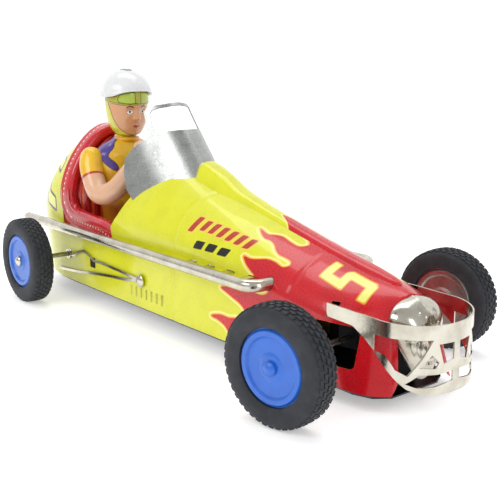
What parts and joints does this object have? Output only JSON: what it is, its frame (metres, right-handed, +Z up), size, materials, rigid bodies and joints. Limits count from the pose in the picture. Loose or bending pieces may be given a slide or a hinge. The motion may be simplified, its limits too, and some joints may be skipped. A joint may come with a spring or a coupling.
{
  "type": "friction tin racing car",
  "caption": "Open-cockpit tinplate racing car toy with seated driver, rubber-tyred wheels, rear friction motor and a front axle that swivels to steer.",
  "frame": {"origin": "on the floor, under the middle of the car's overall box", "axes": "+X towards the nose, +Y to the driver's left, +Z up"},
  "size_m": [0.472, 0.2106, 0.1962],
  "materials": {
    "litho_body": "glossy printed tinplate",
    "litho_red": "glossy printed tinplate",
    "black_enamel": "gloss",
    "white_enamel": "gloss",
    "blue_enamel": "semi-gloss",
    "litho_driver": "glossy printed tinplate",
    "nickel_plate": "bright plated",
    "bare_tinplate": "bare tinplate",
    "steel_wire": "drawn wire",
    "brass_pinion": "cut",
    "flywheel_iron": "turned",
    "tyre_rubber": "moulded"
  },
  "bodies": {
    "chassis": {"base_pan": "black_enamel", "body_side_left": "litho_body", "body_side_right": "litho_body", "driver_arm_left": "litho_driver", "driver_arm_right": "litho_driver", "driver_head": "litho_driver", "driver_helmet": "white_enamel", "driver_torso_back": "litho_driver", "driver_torso_front": "litho_driver", "exhaust_pipe_left": "nickel_plate", "exhaust_pipe_right": "nickel_plate", "front_bridge": "bare_tinplate", "front_guard": "nickel_plate", "grille": "nickel_plate", "hood_spine": "litho_body", "kingpin_rivet": "steel_wire", "motor_plate_left": "bare_tinplate", "motor_plate_right": "bare_tinplate", "motor_spacers": "bare_tinplate", "radius_rod_left": "nickel_plate", "radius_rod_right": "nickel_plate", "rod_button_left": "nickel_plate", "rod_button_right": "nickel_plate", "seat_shell": "litho_red", "steering_column": "steel_wire", "steering_wheel": "black_enamel", "swivel_washer": "bare_tinplate", "windscreen": "nickel_plate"},
    "rear_axle_set": {"rear_axle": "steel_wire", "rear_axle_cap_left": "nickel_plate", "rear_axle_cap_right": "nickel_plate", "rear_disc_inner_left": "bare_tinplate", "rear_disc_inner_right": "bare_tinplate", "rear_disc_outer_left": "blue_enamel", "rear_disc_outer_right": "blue_enamel", "rear_tyre_left": "tyre_rubber", "rear_tyre_right": "tyre_rubber", "drive_gear": "bare_tinplate"},
    "idler_set": {"idler_shaft": "steel_wire", "idler_gear": "bare_tinplate", "idler_pinion": "brass_pinion"},
    "flywheel_set": {"flywheel": "flywheel_iron", "flywheel_shaft": "steel_wire", "flywheel_pinion": "brass_pinion"},
    "front_swivel": {"swivel_bracket": "bare_tinplate"},
    "front_axle_set": {"front_axle": "steel_wire", "front_axle_cap_left": "blue_enamel", "front_axle_cap_right": "blue_enamel", "front_disc_inner_left": "bare_tinplate", "front_disc_inner_right": "bare_tinplate", "front_disc_outer_left": "blue_enamel", "front_disc_outer_right": "blue_enamel", "front_tyre_left": "tyre_rubber", "front_tyre_right": "tyre_rubber"}
  },
  "joints": [
    {"name": "rear_axle_spin", "type": "hinge", "parent": "chassis", "child": "rear_axle_set", "pos_m": [-0.1525, 0, 0.036], "axis": [0, 1, 0], "continuous": true},
    {"name": "idler_spin", "type": "hinge", "parent": "chassis", "child": "idler_set", "pos_m": [-0.13348, 0, 0.04004], "axis": [0, 1, 0], "continuous": true},
    {"name": "flywheel_spin", "type": "hinge", "parent": "chassis", "child": "flywheel_set", "pos_m": [-0.1146, 0, 0.03534], "axis": [0, 1, 0], "continuous": true},
    {"name": "front_steer", "type": "hinge", "parent": "chassis", "child": "front_swivel", "pos_m": [0.1695, 0, 0.036], "axis": [0, 0, 1], "range_deg": [-23.3, 4.7]},
    {"name": "front_axle_spin", "type": "hinge", "parent": "front_swivel", "child": "front_axle_set", "pos_m": [0.1695, 0, 0.036], "axis": [-0.1616, 0.9869, 0], "continuous": true}
  ],
  "couplings": [
    {"joint": "idler_spin", "follows": "rear_axle_spin", "ratio": -3},
    {"joint": "flywheel_spin", "follows": "rear_axle_spin", "ratio": 9}
  ]
}
